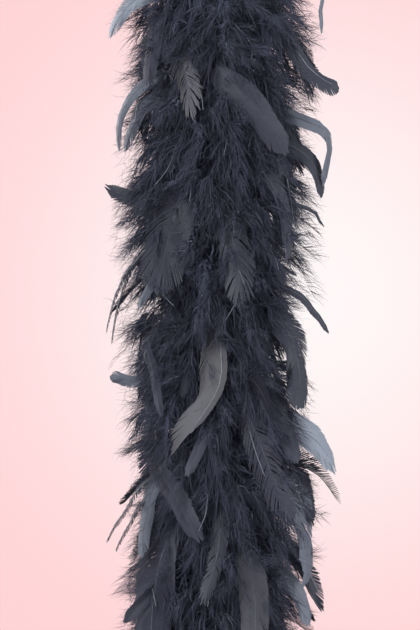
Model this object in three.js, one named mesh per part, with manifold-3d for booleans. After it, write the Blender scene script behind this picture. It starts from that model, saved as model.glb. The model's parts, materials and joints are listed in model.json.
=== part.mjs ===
// A two-yard feather boa hanging straight down from the cord eye at its top end.
// Millimetres, +Z up. The origin is the inside top of the eye, where a hook bears.
// The core cord is cut into short links that hinge end to end, and each link carries
// whorls of drooping feathers bound on with thread.
import * as THREE from 'three';
import { mergeVertices } from 'three/addons/utils/BufferGeometryUtils.js';
import Module from 'manifold-3d';

const wasm = await Module();
wasm.setup();

// Driving dimensions
const sectionCount = 10;
const sectionLength = 180;
const cordRadius = 2;
const touchGap = 0.3;
const bendLimit = THREE.MathUtils.degToRad(35);

const eyeInnerRadius = 9;
const eyeStrandRadius = 2;
const knotRadius = 6;
const knotHeight = 14;
const knotShoulder = 0.25;
const knotTopRadius = 3;
const stubLength = 10;

const whorlsPerSection = 4;
const bindingHeight = 12;
const bindingWall = 2.3;
const bladesPerWhorl = 5;
const bladeWidth = 26;
const bladeThickness = 1.3;
const bladeRootShare = 0.1;
const bladeFullness = 0.9;
const bladeNarrowing = 0.6;
const bladeLeafEnd = 1.25;
const droopPower = 1.5;
const bladeTrimStep = 0.03;
const bladeTrimCount = 4;
const bodyReach = 82;
const strayReach = 118;
const whorlDrop = 34;
const lastWhorlDrop = 12;
const lastWhorlReach = 84;

const whippingHeight = 5;
const whippingWall = 1.2;
const endKnotRadius = 6.5;
const tailLength = 26;
const tailTipRadius = 3;

// Facets round a cord, round a binding and round the eye, and rows along a blade
const cordSides = 8;
const bindingSides = 8;
const eyeSteps = 24;
const endRoundSteps = 2;
const bladeRows = 3;
const weldDistance = 1e-4;

// Sizes that follow from the ones above
const bindingInner = cordRadius + touchGap;
const bindingOuter = bindingInner + bindingWall;
const whippingInner = cordRadius + touchGap;
const whippingOuter = whippingInner + whippingWall;
const knotTop = -2 * (eyeInnerRadius + eyeStrandRadius) - touchGap;
const firstPivot = knotTop - knotHeight - stubLength;
const endOfCord = firstPivot - sectionCount * sectionLength;
const bodyClearance = bodyReach * Math.tan(bendLimit / 2);
const strayClearance = strayReach * Math.tan(bendLimit / 2);
const firstWhorlDepth = strayClearance - whorlDrop + 2 * bindingHeight;
const lastWhorlDepth = sectionLength - bodyClearance - lastWhorlDrop - bindingHeight / 2;
const whorlStep = (lastWhorlDepth - firstWhorlDepth) / (whorlsPerSection - 1);

const goldenAngle = Math.PI * (3 - Math.sqrt(5));

const finishes = {
  feather: { color: 0x2b2d38, roughness: 0.85, metalness: 0 },
  cord: { color: 0x1b1c22, roughness: 0.9, metalness: 0 },
  thread: { color: 0x24252d, roughness: 0.7, metalness: 0 },
};

const boa = new THREE.Group();

function addPiece(parent, name, geometry, finish, z) {
  const mesh = new THREE.Mesh(geometry, new THREE.MeshStandardMaterial(finishes[finish]));
  mesh.name = name;
  mesh.position.z = z;
  parent.add(mesh);
  return mesh;
}

function bareGeometry(geometry) {
  const bare = geometry.clone();
  bare.deleteAttribute('normal');
  bare.deleteAttribute('uv');
  return mergeVertices(bare, weldDistance);
}

function solidOf(geometry) {
  const bare = bareGeometry(geometry);
  return new wasm.Manifold(new wasm.Mesh({
    numProp: 3,
    vertProperties: new Float32Array(bare.attributes.position.array),
    triVerts: new Uint32Array(bare.index.array),
  }));
}

function geometryOf(solid) {
  const mesh = solid.getMesh();
  const geometry = new THREE.BufferGeometry();
  geometry.setAttribute('position', new THREE.BufferAttribute(mesh.vertProperties, 3));
  geometry.setIndex(new THREE.BufferAttribute(mesh.triVerts, 1));
  return geometry;
}

// A lathe takes its profile as [radius, z] from the bottom up
function turned(profile, sides) {
  const points = profile.map(([radius, z]) => new THREE.Vector2(radius, z));
  return new THREE.LatheGeometry(points, sides).rotateX(Math.PI / 2);
}

function roundEnd(centre, radius, fromAngle, toAngle) {
  const profile = [];
  for (let i = 0; i <= endRoundSteps; i += 1) {
    const angle = fromAngle + ((toAngle - fromAngle) * i) / endRoundSteps;
    const reach = Math.abs(Math.cos(angle)) < weldDistance ? 0 : radius * Math.cos(angle);
    profile.push([reach, centre + radius * Math.sin(angle)]);
  }
  return profile;
}

// A cord link with half-ball ends, so that it can bend against the next link
function cordLink(length) {
  const half = length / 2 - touchGap / 2 - cordRadius;
  return turned([
    ...roundEnd(-half, cordRadius, -Math.PI / 2, 0),
    ...roundEnd(half, cordRadius, 0, Math.PI / 2),
  ], cordSides);
}

function ring(innerRadius, outerRadius, height, sides) {
  return turned([
    [innerRadius, -height / 2],
    [outerRadius, -height / 2],
    [outerRadius, height / 2],
    [innerRadius, height / 2],
    [innerRadius, -height / 2],
  ], sides);
}

// One feather blade: a thin strip, leaf shaped, that leaves the binding and droops
function blade(reach, drop, heading) {
  const strip = bareGeometry(new THREE.BoxGeometry(1, 1, 1, bladeRows, 1, 1));
  const place = strip.attributes.position;
  const root = (bindingInner + bindingOuter) / 2;
  const run = reach - root;
  for (let i = 0; i < place.count; i += 1) {
    const along = place.getX(i) + 0.5;
    const swell = Math.sin((Math.PI * along) / bladeLeafEnd);
    const leaf = bladeRootShare + (bladeFullness - bladeNarrowing * along) * swell;
    const across = place.getY(i) * bladeWidth * leaf;
    const slope = Math.atan2(droopPower * drop * along ** (droopPower - 1), run);
    const lift = place.getZ(i) * bladeThickness;
    const radius = root + run * along + lift * Math.sin(slope);
    const z = -drop * along ** droopPower + lift * Math.cos(slope);
    place.setXYZ(
      i,
      radius * Math.cos(heading) - across * Math.sin(heading),
      radius * Math.sin(heading) + across * Math.cos(heading),
      z,
    );
  }
  return strip;
}

// A whorl: a thread binding round the cord with its feather blades caught in it
function featherWhorl(drop, reaches, heading) {
  let whorl = solidOf(ring(bindingInner, bindingOuter, bindingHeight, bindingSides));
  reaches.forEach((reach, i) => {
    const turn = heading + (2 * Math.PI * i) / reaches.length;
    whorl = whorl.add(solidOf(blade(reach, drop, turn)));
  });
  return geometryOf(whorl);
}

// Hanger: the eye in the cord's end, its knot with a stub of cord, and a whipping
const hanger = new THREE.Group();
boa.add(hanger);

const eye = new THREE.TorusGeometry(
  eyeInnerRadius + eyeStrandRadius,
  eyeStrandRadius,
  cordSides,
  eyeSteps,
).rotateX(Math.PI / 2);
addPiece(hanger, 'hanging_eye', eye, 'cord', -eyeInnerRadius);

const stubHalfBall = firstPivot + touchGap / 2 + cordRadius;
const knot = turned([
  ...roundEnd(stubHalfBall, cordRadius, -Math.PI / 2, 0),
  [cordRadius, knotTop - knotHeight],
  [knotRadius, knotTop - knotHeight * (1 - knotShoulder)],
  [knotRadius, knotTop - knotHeight * knotShoulder],
  [knotTopRadius, knotTop],
  [0, knotTop],
], cordSides);
addPiece(hanger, 'top_knot', knot, 'cord', 0);
addPiece(
  hanger,
  'top_whipping',
  ring(whippingInner, whippingOuter, whippingHeight, bindingSides),
  'thread',
  knotTop - knotHeight - touchGap - whippingHeight / 2,
);

// Sections: one cord link and its whorls, each hanging from the link above
const whorlLetters = ['a', 'b', 'c', 'd'];
for (let section = 0; section < sectionCount; section += 1) {
  const label = String(section + 1).padStart(2, '0');
  const link = new THREE.Group();
  link.position.z = firstPivot - section * sectionLength;
  boa.add(link);
  addPiece(link, `core_cord_${label}`, cordLink(sectionLength), 'cord', -sectionLength / 2);
  for (let row = 0; row < whorlsPerSection; row += 1) {
    const isLast = row === whorlsPerSection - 1;
    const count = section * whorlsPerSection + row;
    const reaches = [];
    for (let i = 0; i < bladesPerWhorl; i += 1) {
      const isStray = !isLast && (i + 2 * count) % bladesPerWhorl === 0;
      const trim = 1 - bladeTrimStep * ((3 * i + count) % bladeTrimCount);
      const reach = isLast ? lastWhorlReach : bodyReach;
      reaches.push((isStray ? strayReach : reach) * trim);
    }
    addPiece(
      link,
      `feather_whorl_${label}_${whorlLetters[row]}`,
      featherWhorl(isLast ? lastWhorlDrop : whorlDrop, reaches, count * goldenAngle),
      'feather',
      -firstWhorlDepth - row * whorlStep,
    );
  }
}

// The bottom end: a whipping, the end knot and the cord's frayed tail
const end = new THREE.Group();
end.position.z = endOfCord;
boa.add(end);
addPiece(
  end,
  'end_whipping',
  ring(whippingInner, whippingOuter, whippingHeight, bindingSides),
  'thread',
  touchGap / 2 + cordRadius + whippingHeight / 2,
);
const endKnot = turned(
  roundEnd(-endKnotRadius - touchGap / 2, endKnotRadius, -Math.PI / 2, Math.PI / 2),
  cordSides,
);
addPiece(end, 'end_knot', endKnot, 'cord', 0);
const tailTop = -2 * endKnotRadius - 1.5 * touchGap;
const tail = turned([
  [0, tailTop - tailLength],
  [tailTipRadius, tailTop - tailLength],
  [cordRadius, tailTop],
  [0, tailTop],
], cordSides);
addPiece(end, 'end_tail', tail, 'cord', 0);

export default boa;
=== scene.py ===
import json
import math
from dataclasses import dataclass
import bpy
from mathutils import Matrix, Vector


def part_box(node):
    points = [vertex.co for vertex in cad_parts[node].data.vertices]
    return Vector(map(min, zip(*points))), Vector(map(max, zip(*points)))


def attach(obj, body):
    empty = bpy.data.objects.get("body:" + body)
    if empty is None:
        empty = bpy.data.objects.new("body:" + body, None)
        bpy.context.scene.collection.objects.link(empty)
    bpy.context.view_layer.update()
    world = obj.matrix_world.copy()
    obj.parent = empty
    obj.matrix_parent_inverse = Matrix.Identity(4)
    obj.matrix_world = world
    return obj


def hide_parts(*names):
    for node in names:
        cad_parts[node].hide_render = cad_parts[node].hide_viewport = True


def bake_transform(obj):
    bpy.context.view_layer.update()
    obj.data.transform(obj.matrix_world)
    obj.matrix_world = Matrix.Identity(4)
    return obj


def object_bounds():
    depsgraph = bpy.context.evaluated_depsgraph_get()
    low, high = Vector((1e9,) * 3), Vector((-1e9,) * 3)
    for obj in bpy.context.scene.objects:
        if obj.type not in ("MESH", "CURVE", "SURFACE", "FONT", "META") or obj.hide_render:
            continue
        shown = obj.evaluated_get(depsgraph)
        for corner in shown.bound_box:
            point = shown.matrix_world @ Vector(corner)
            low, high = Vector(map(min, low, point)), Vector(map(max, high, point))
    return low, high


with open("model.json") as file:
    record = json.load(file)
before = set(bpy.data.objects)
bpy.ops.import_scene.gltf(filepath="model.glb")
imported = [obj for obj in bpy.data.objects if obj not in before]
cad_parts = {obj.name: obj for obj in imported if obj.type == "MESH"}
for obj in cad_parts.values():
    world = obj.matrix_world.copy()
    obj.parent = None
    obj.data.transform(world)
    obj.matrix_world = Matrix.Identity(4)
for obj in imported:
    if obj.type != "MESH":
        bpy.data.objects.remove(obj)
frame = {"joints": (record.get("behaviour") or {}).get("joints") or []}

from types import SimpleNamespace

import bpy
import numpy as np
from mathutils import Vector

CAD_LOW, CAD_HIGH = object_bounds()

MM = 0.001
TINY = 1e-9
TAU = 2 * math.pi
GOLDEN_ANGLE = math.pi * (3 - math.sqrt(5))

# The boa's own sizes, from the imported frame
JOINTS = frame["joints"]
PIVOTS = [joint["pos_m"][2] for joint in JOINTS]
SECTIONS = len(PIVOTS)
LAST_SECTION = f"section_{SECTIONS:02d}"
SECTION_LENGTH = PIVOTS[0] - PIVOTS[1]
CORD_RADIUS = (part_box("core_cord_01")[1][0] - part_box("core_cord_01")[0][0]) / 2
ROWS = "abcd"
ROW_STEP = SECTION_LENGTH / len(ROWS)

# How full the plumage is: pieces of each kind in a row, barbs and locks in a plume, and the
# fibres of the cord's tail
DOWN_PER_ROW = 16
PLUMES_PER_ROW = 84
PLUME_BARBS = 62
LOCKS_PER_PLUME = 14
HAZE_PER_ROW = 1100
WEBS_PER_ROW = 300
LAID_FLATS_PER_ROW = 6
LOOSE_FLATS_PER_ROW = 3
TAIL_FIBRES = 60

# Lengths, and how far a web sags, as the least and the most in millimetres
DOWN_LENGTH = (62, 92)
DOWN_BARB_LENGTH = (20, 30)
PLUME_BARB_LENGTH = (13, 29)
HAZE_LENGTH = (8, 20)
WEB_SAG = (0, 26)

# How far a feather's heading strays from its even place in the row, in radians, and how many
# places are tried for a loose flat before it may stand out too far
DOWN_STRAY = 0.3
FLAT_STRAY = 0.5
LOOSE_TRIES = 6

# The room that the plumage keeps to: the body's usual radius, the radius past which strays are
# drawn in and the one they never reach, how softly, the same two heights at the foot, and the
# room of a loose flat's quill
BODY_RADIUS = 90 * MM
SIDE_EASE = 96 * MM
SIDE_LIMIT = 122 * MM
SIDE_SOFTNESS = 1.4
FOOT_EASE = CAD_LOW[2] - 5 * MM
FOOT_LIMIT = CAD_LOW[2] - 45 * MM
LOOSE_ROOM = 0.80 * SIDE_LIMIT

# How far from each end the body tapers, and its share of full at the very end
END_TAPER = 95 * MM
END_FULLNESS = 0.42

SEED = 1907
rng = np.random.default_rng(SEED)


# ---- camera and light

# The middle and the height of what the camera sees, and how far away it stands, in metres
VIEW_CENTRE = Vector((-6 * MM, 0, -0.425))
VIEW_HEIGHT = 0.580
CAMERA_DISTANCE = 1.9
SENSOR_LONG_SIDE = 36.0


def set_camera():
    """A level camera in front of the boa's upper middle."""
    camera = bpy.data.objects.new("camera", bpy.data.cameras.new("camera"))
    bpy.context.scene.collection.objects.link(camera)
    camera.data.sensor_width = SENSOR_LONG_SIDE
    camera.data.lens = SENSOR_LONG_SIDE * CAMERA_DISTANCE / VIEW_HEIGHT
    camera.location = VIEW_CENTRE + Vector((0, -CAMERA_DISTANCE, 0))
    camera.rotation_euler = (math.pi / 2, 0, 0)
    bpy.context.scene.camera = camera


def soft_light(name, place, width, height, power, colour):
    """A soft box that faces the boa."""
    data = bpy.data.lights.new(name, "AREA")
    data.shape = "RECTANGLE"
    data.size = width
    data.size_y = height
    data.energy = power
    data.color = colour
    light = bpy.data.objects.new(name, data)
    bpy.context.scene.collection.objects.link(light)
    light.location = place
    light.rotation_euler = (LIT_MIDDLE - Vector(place)).to_track_quat("-Z", "Y").to_euler()


# What the lights face, in metres, and each light's name, place, width, height, power and colour
LIT_MIDDLE = Vector((0, 0, -0.6))
COOL_WHITE = (0.91, 0.95, 1.0)
COOLER_WHITE = (0.90, 0.94, 1.0)
WARM_WHITE = (1.0, 0.97, 0.98)
LIGHTS = [
    ("key", (-1.1, -1.7, 0.5), 0.9, 1.4, 41, COOL_WHITE),
    ("fill", (1.6, -1.1, -0.3), 0.9, 1.8, 25, COOLER_WHITE),
    ("rim", (0.7, 1.5, 0.5), 1.0, 1.6, 26, WARM_WHITE),
    ("rim_left", (-1.3, 1.2, 0.2), 0.8, 1.6, 18, WARM_WHITE),
]

# The way in which the backing is palest, how far from it the backing is pinkest, and both tints;
# the pale middle is a painted pool of light on the pink backing
PALEST_WAY = (0.045, 0.999, 0.010)
PINK_FROM_PALEST = 0.21
PALEST = (1.0, 0.94, 0.94, 1)
PINKEST = (1.0, 0.66, 0.675, 1)

# The cool sky that lights the boa
SKY_COLOUR = (0.82, 0.90, 1.0, 1)
SKY_STRENGTH = 0.90


def set_studio():
    """The lights, a cool sky that lights the boa, and a pink backing that only the eye sees, with a
    painted pool of light in its middle.
    """
    for light in LIGHTS:
        soft_light(*light)
    world = bpy.data.worlds.new("pale_studio")
    bpy.context.scene.world = world
    world.use_nodes = True
    tree = world.node_tree
    new, link = tree.nodes.new, tree.links.new
    backing = tree.nodes["Background"]
    towards = new("ShaderNodeTexCoord")
    aside = new("ShaderNodeVectorMath")
    aside.operation = "DISTANCE"
    aside.inputs[1].default_value = PALEST_WAY
    share = new("ShaderNodeMapRange")
    share.interpolation_type = "SMOOTHSTEP"
    share.inputs["From Min"].default_value = 0.0
    share.inputs["From Max"].default_value = PINK_FROM_PALEST
    pink = new("ShaderNodeMix")
    pink.data_type = "RGBA"
    pink.inputs["A"].default_value = PALEST
    pink.inputs["B"].default_value = PINKEST
    link(towards.outputs["Generated"], aside.inputs[0])
    link(aside.outputs["Value"], share.inputs["Value"])
    link(share.outputs["Result"], pink.inputs["Factor"])
    link(pink.outputs["Result"], backing.inputs["Color"])
    sky = new("ShaderNodeBackground")
    sky.inputs["Color"].default_value = SKY_COLOUR
    sky.inputs["Strength"].default_value = SKY_STRENGTH
    seen = new("ShaderNodeLightPath")
    either = new("ShaderNodeMixShader")
    link(seen.outputs["Is Camera Ray"], either.inputs["Fac"])
    link(sky.outputs[0], either.inputs[1])
    link(backing.outputs[0], either.inputs[2])
    link(either.outputs[0], tree.nodes["World Output"].inputs["Surface"])
    bpy.context.scene.view_settings.view_transform = "Standard"


# ---- shader writing

class Value:
    """A shader socket that takes part in Python sums. A tuple is a colour, a number is a value."""

    def __init__(self, material, socket):
        self.material = material
        self.socket = socket

    def _with(self, operation, first, second):
        return self.material.node("ShaderNodeMath", {"operation": operation}, first, second)

    def __add__(self, other):
        return self._with("ADD", self, other)

    def __mul__(self, other):
        return self._with("MULTIPLY", self, other)

    def __pow__(self, other):
        return self._with("POWER", self, other)

    __radd__ = __add__
    __rmul__ = __mul__


class Finish:
    """A material whose nodes are written as expressions."""

    def __init__(self, name):
        self.data = bpy.data.materials.new(name)
        self.data.use_nodes = True
        self.tree = self.data.node_tree
        self.skin = self.tree.nodes["Principled BSDF"]

    def feed(self, socket, value):
        if isinstance(value, Value):
            self.tree.links.new(value.socket, socket)
        elif isinstance(value, tuple) and socket.type == "RGBA":
            socket.default_value = (*value, 1.0)
        else:
            socket.default_value = value

    def node(self, kind, settings, *values, output=0, **named):
        made = self.tree.nodes.new(kind)
        for key, setting in settings.items():
            setattr(made, key, setting)
        for i, value in enumerate(values):
            self.feed(made.inputs[i], value)
        for key, value in named.items():
            self.feed(made.inputs[key], value)
        return Value(self, made.outputs[output])

    def place(self):
        return self.node("ShaderNodeTexCoord", {}, output="Object")

    def drawn(self, attribute):
        return self.node("ShaderNodeAttribute", {"attribute_name": attribute}, output="Fac")

    def noise(self, place, scale, detail=3.0):
        return self.node(
            "ShaderNodeTexNoise", {}, Vector=place, Scale=scale, Detail=detail, Roughness=0.55
        )

    def mix(self, share, first, second):
        made = self.tree.nodes.new("ShaderNodeMix")
        made.data_type = "RGBA"
        for key, value in (("Factor_Float", share), ("A_Color", first), ("B_Color", second)):
            self.feed(next(s for s in made.inputs if s.identifier == key), value)
        return Value(self, next(s for s in made.outputs if s.identifier == "Result_Color"))

    def bump(self, height, distance, strength):
        return self.node(
            "ShaderNodeBump", {}, Height=height, Distance=distance, Strength=strength,
            output="Normal",
        )

    def skin_is(self, **values):
        for key, value in values.items():
            self.feed(self.skin.inputs[key.replace("_", " ")], value)
        return self.data


def down_finish():
    """Soft black down: dull, with painted shade that makes it near black at the root and smoky at
    the tips, and painted light in broad lit patches.
    """
    f = Finish("black_down")
    tone = f.drawn("tone")
    reach = f.drawn("reach")
    place = f.place()
    patch = f.noise(place, 38.0)
    painted_light_patch = f.noise(place, 11.0, 2.0)
    # painted shade: the down's colour deep in the body, near black at the root and lighter toward
    # the tips
    depth = f.mix(reach, (0.009, 0.009, 0.015), (0.019, 0.019, 0.034))
    # painted light: broad patches where the down takes a lit colour
    painted_lit_colour = f.mix(painted_light_patch ** 1.5, (0.014, 0.014, 0.025), (0.075, 0.077, 0.125))
    colour = f.mix(tone * 0.75 + patch * 0.25, depth, painted_lit_colour)
    return f.skin_is(
        Base_Color=colour,
        Roughness=0.62 + 0.2 * patch,
        Specular_IOR_Level=0.35,
        Sheen_Weight=0.25,
        Sheen_Roughness=0.5,
        Sheen_Tint=(0.75, 0.8, 1.0),
    )


def flat_finish():
    """Flat vane barbs: satin slate with a faint violet and brown drift, fine barbule lines, and
    painted backlight that turns thin vanes pale grey-blue.
    """
    f = Finish("slate_vane")
    place = f.place()
    tone = f.drawn("tone")
    reach = f.drawn("reach")
    cloud = f.noise(place, 24.0)
    fine = f.noise(place, 900.0, 2.0)
    slate = f.mix(tone, (0.006, 0.006, 0.012), (0.018, 0.018, 0.036))
    worn = f.mix(cloud ** 2.0, slate, (0.017, 0.015, 0.026))
    worn = f.mix(f.drawn("warm"), worn, (0.066, 0.060, 0.058))
    # painted backlight: the pale grey-blue of light shining through and round a thin vane
    painted_backlight = f.mix(f.drawn("painted_backlight"), worn, (0.27, 0.29, 0.325))
    return f.skin_is(
        Base_Color=f.mix(reach * 0.10, painted_backlight, (0.036, 0.037, 0.066)),
        Roughness=0.44 + 0.22 * cloud + 0.1 * fine,
        Specular_IOR_Level=0.5,
        Sheen_Weight=0.05,
        Sheen_Roughness=0.4,
        Normal=f.bump(fine, 0.00012, 0.5),
    )


def quill_finish():
    """The quills: glossy horn, dark, and pale with a painted glint as their tone rises."""
    f = Finish("horn_quill")
    grain = f.noise(f.place(), 260.0)
    tone = f.drawn("tone")
    colour = f.mix(tone * 0.55 + 0.1 * grain, (0.014, 0.014, 0.020), (0.30, 0.30, 0.33))
    return f.skin_is(Base_Color=colour, Roughness=0.24 + 0.2 * grain, Specular_IOR_Level=0.6)


def cord_finish():
    """Black twisted cotton cord with a fibre grain."""
    f = Finish("black_cotton_cord")
    place = f.place()
    fibre = f.noise(place, 1400.0, 4.0)
    colour = f.mix(fibre, (0.005, 0.005, 0.008), (0.020, 0.020, 0.028))
    return f.skin_is(
        Base_Color=colour,
        Roughness=0.75 + 0.2 * fibre,
        Sheen_Weight=0.3,
        Normal=f.bump(fibre, 0.0003, 0.6),
    )


def thread_finish():
    """Waxed black binding thread."""
    f = Finish("waxed_thread")
    fibre = f.noise(f.place(), 2200.0, 3.0)
    colour = f.mix(fibre, (0.012, 0.012, 0.016), (0.05, 0.05, 0.062))
    return f.skin_is(
        Base_Color=colour, Roughness=0.45 + 0.2 * fibre, Normal=f.bump(fibre, 0.0002, 0.5)
    )


# ---- plumage meshes

FINISHES = [down_finish(), flat_finish(), quill_finish(), cord_finish(), thread_finish()]
DOWN, FLAT, QUILL, CORD, THREAD = range(len(FINISHES))
MARKS = ("tone", "reach", "painted_backlight", "warm")


class Plumage:
    """Gathers the strips and tubes of one piece and turns them into a mesh."""

    def __init__(self):
        self.points = []
        self.faces = []
        self.finishes = []
        self.marks = []
        self.count = 0

    def add(self, points, faces, finish, tone, reach, painted_backlight=0.0, warm=0.0):
        self.points.append(points)
        self.faces.append(faces + self.count)
        self.finishes.append(np.full(len(faces), finish))
        marks = np.empty((len(points), len(MARKS)))
        for column, mark in enumerate((tone, reach, painted_backlight, warm)):
            marks[:, column] = mark
        self.marks.append(marks)
        self.count += len(points)

    def strips(self, middle, across, finish, tone, reach, painted_backlight=0.0, warm=0.0):
        """Tapered ribbons: middle and across are (strips, rows, 3); the last row is a point."""
        strips, rows = middle.shape[:2]
        reach = np.broadcast_to(reach, (strips, rows))
        left = middle - across
        right = middle[:, :-1] + across[:, :-1]
        points = np.concatenate([left, right], axis=1)
        per = 2 * rows - 1
        step = np.arange(rows - 2)
        first = np.stack([step, step + 1, step + rows], axis=1)
        second = np.stack([step + 1, step + rows + 1, step + rows], axis=1)
        tip = np.array([[rows - 2, rows - 1, 2 * rows - 2]])
        one = np.concatenate([first, second, tip])
        faces = (one[None] + (np.arange(strips) * per)[:, None, None]).reshape(-1, 3)
        reach = np.concatenate([reach, reach[:, :-1]], axis=1).reshape(-1)
        tone = np.repeat(np.broadcast_to(tone, strips), per)
        self.add(points.reshape(-1, 3), faces, finish, tone, reach, painted_backlight, warm)

    def tube(self, route, radii, finish, tone=0.5, painted_backlight=0.0, sides=4):
        """A closed tube along a route, with a point at each end."""
        rows = len(route)
        ahead = unit(np.gradient(route, axis=0))
        side = unit(np.cross(ahead, steady_up(ahead)))
        over = np.cross(side, ahead)
        turn = np.arange(sides) * TAU / sides
        ring = (
            side[:, None] * np.cos(turn)[None, :, None]
            + over[:, None] * np.sin(turn)[None, :, None]
        )
        points = (route[:, None] + ring * np.asarray(radii)[:, None, None]).reshape(-1, 3)
        points = np.concatenate([points, route[:1], route[-1:]])
        faces = []
        for row in range(rows - 1):
            for k in range(sides):
                a, b = row * sides + k, row * sides + (k + 1) % sides
                faces += [(a, b, b + sides), (a, b + sides, a + sides)]
        last = (rows - 1) * sides
        for k in range(sides):
            follow = (k + 1) % sides
            faces.append((rows * sides, follow, k))
            faces.append((rows * sides + 1, last + k, last + follow))
        reach = np.concatenate([np.repeat(np.linspace(0, 1, rows), sides), [0, 1]])
        self.add(points, np.array(faces), finish, tone, reach, painted_backlight)

    def piece(self, name):
        mesh = bpy.data.meshes.new(name)
        points = kept_in(np.concatenate(self.points))
        faces = np.concatenate(self.faces)
        used = np.concatenate(self.finishes)
        marks = np.concatenate(self.marks)
        mesh.vertices.add(len(points))
        mesh.vertices.foreach_set("co", points.astype(np.float32).ravel())
        mesh.loops.add(faces.size)
        mesh.loops.foreach_set("vertex_index", faces.astype(np.int32).ravel())
        mesh.polygons.add(len(faces))
        mesh.polygons.foreach_set("loop_start", np.arange(0, faces.size, 3, dtype=np.int32))
        slots = sorted(set(used.tolist()))
        for slot in slots:
            mesh.materials.append(FINISHES[slot])
        mesh.polygons.foreach_set("material_index", np.searchsorted(slots, used).astype(np.int32))
        for column, label in enumerate(MARKS):
            mark = mesh.attributes.new(label, "FLOAT", "POINT")
            mark.data.foreach_set("value", marks[:, column].astype(np.float32))
        mesh.update()
        mesh.validate()
        obj = bpy.data.objects.new(name, mesh)
        bpy.context.scene.collection.objects.link(obj)
        return obj


def kept_in(points):
    """Draws the longest strays in, so that the boa keeps to its own room."""
    radius = np.hypot(points[:, 0], points[:, 1])
    over = np.maximum(radius - SIDE_EASE, 0)
    room = SIDE_LIMIT - SIDE_EASE
    drawn_in = SIDE_EASE + room * np.tanh(over / (SIDE_SOFTNESS * room))
    shrunk = np.where(over > 0, drawn_in, radius)
    points[:, :2] *= (shrunk / np.maximum(radius, TINY))[:, None]
    low = np.maximum(FOOT_EASE - points[:, 2], 0)
    room = FOOT_EASE - FOOT_LIMIT
    points[:, 2] = np.where(low > 0, FOOT_EASE - room * np.tanh(low / room), points[:, 2])
    return points


def unit(vectors):
    return vectors / np.maximum(np.linalg.norm(vectors, axis=-1, keepdims=True), TINY)


def steady_up(ahead):
    """An up vector that is never along the route."""
    steep = np.abs(ahead[..., 2:3]) > 0.9
    return np.where(steep, np.array([1.0, 0.0, 0.0]), np.array([0.0, 0.0, 1.0]))


def ease(t):
    return t * t * (3 - 2 * t)


def along(route, places):
    """The points at those shares of a route."""
    spots = places * (len(route) - 1)
    low = np.clip(spots.astype(int), 0, len(route) - 2)
    share = (spots - low)[:, None]
    return route[low] * (1 - share) + route[low + 1] * share


def pointing(pitch, turn):
    """Unit vectors that rise by the pitch and head along the turn."""
    return np.stack([np.cos(pitch) * np.cos(turn), np.cos(pitch) * np.sin(turn), np.sin(pitch)], -1)


def around(radius, heading, z):
    """The points at a radius and a heading round the cord, at a height."""
    spot = (radius * np.cos(heading), radius * np.sin(heading), z)
    return np.stack(np.broadcast_arrays(*spot), -1)


def quill_route(root, heading, lift, bend, sweep, length, rows=11):
    """A drooping quill from its root, with its way ahead and its side way at each row."""
    t = np.linspace(0, 1, rows)
    turn = heading + sweep * t
    ahead = pointing(lift - bend * ease(t), turn)
    step = length / (rows - 1)
    moves = (ahead[1:] + ahead[:-1]) / 2 * step
    route = np.concatenate([[root], root + np.cumsum(moves, axis=0)])
    side = np.stack([-np.sin(turn), np.cos(turn), np.zeros(rows)], 1)
    return route, ahead, side


def rolled(ahead, side, roll):
    """Turns the vane's side vector about its quill, and gives the vane's face vector too."""
    over = np.cross(ahead, side)
    across = side * np.cos(roll) + over * np.sin(roll)
    return unit(across), unit(np.cross(across, ahead))


# ---- barbs and feathers

@dataclass(frozen=True)
class Barb:
    """How one kind of barb runs and tapers, in shares of its own length and half-width.

    The half-width's least and most, and how far its rows stray, are in millimetres.
    """

    steps: tuple
    taper: tuple
    half: tuple
    wave: float = 0.0
    swing: float = 0.0
    lean: float = 0.0
    sag: float = 0.0
    stray: float = 0.0

    @property
    def u(self):
        return np.array(self.steps)


DOWN_BARB = Barb(
    (0, 0.3, 0.65, 1), (1, 0.9, 0.5, 0), (0.18, 0.34), wave=0.16, swing=4.2, lean=0.22, sag=0.16
)
PLUME_BARB = Barb(
    (0, 0.35, 0.7, 1), (1, 0.9, 0.55, 0), (0.13, 0.27), wave=0.19, swing=3.8, lean=0.30, sag=0.28
)
BASE_BARB = Barb((0, 0.3, 0.65, 1), (1, 0.85, 0.6, 0), (0.18, 0.18), wave=0.18, swing=4.0, sag=0.2)
HAZE_BARB = Barb((0, 0.5, 1), (0.8, 1, 0), (0.08, 0.14), wave=0.12, swing=3.1)
LOCK_BARB = Barb((0, 0.3, 0.65, 1), (0.7, 1, 0.7, 0), (0.4, 1.35), stray=0.9)
WEB_BARB = Barb((0, 0.35, 0.7, 1), (0.25, 0.9, 0.8, 0), (1.0, 2.6), stray=3)
VANE_BARB = Barb((0, 0.45, 0.9, 1), (1, 1, 0.9, 0), ())
STEM_BARB = Barb((0, 0.5, 1), (1, 0.72, 0), (0.5, 0.5))


def waving_lines(kind, start, out, length, quill_way=0.0):
    """The middle line of each barb: out from its start, waving aside, leaning and sagging."""
    u, size = kind.u, length[:, None, None]
    aside = np.cross(out, unit(rng.normal(0, 1, out.shape)))
    lines = (
        start[:, None]
        + out[:, None] * u[None, :, None] * size
        + aside[:, None] * (kind.wave * np.sin(u * kind.swing))[None, :, None] * size
        + quill_way * (kind.lean * u**2)[None, :, None] * size
    )
    lines[..., 2] -= kind.sag * u**2 * length[:, None]
    return lines


def straying_lines(kind, start, out, length):
    """The middle line of each lock or web: straight out, with its rows a little astray."""
    lines = start[:, None] + out[:, None] * (length[:, None] * kind.u)[..., None]
    lines[:, 1:] += rng.normal(0, kind.stray * MM, lines[:, 1:].shape)
    return lines


def any_side(out):
    """A random unit vector square to each barb."""
    return unit(np.cross(out, rng.normal(0, 1, out.shape)))


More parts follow.
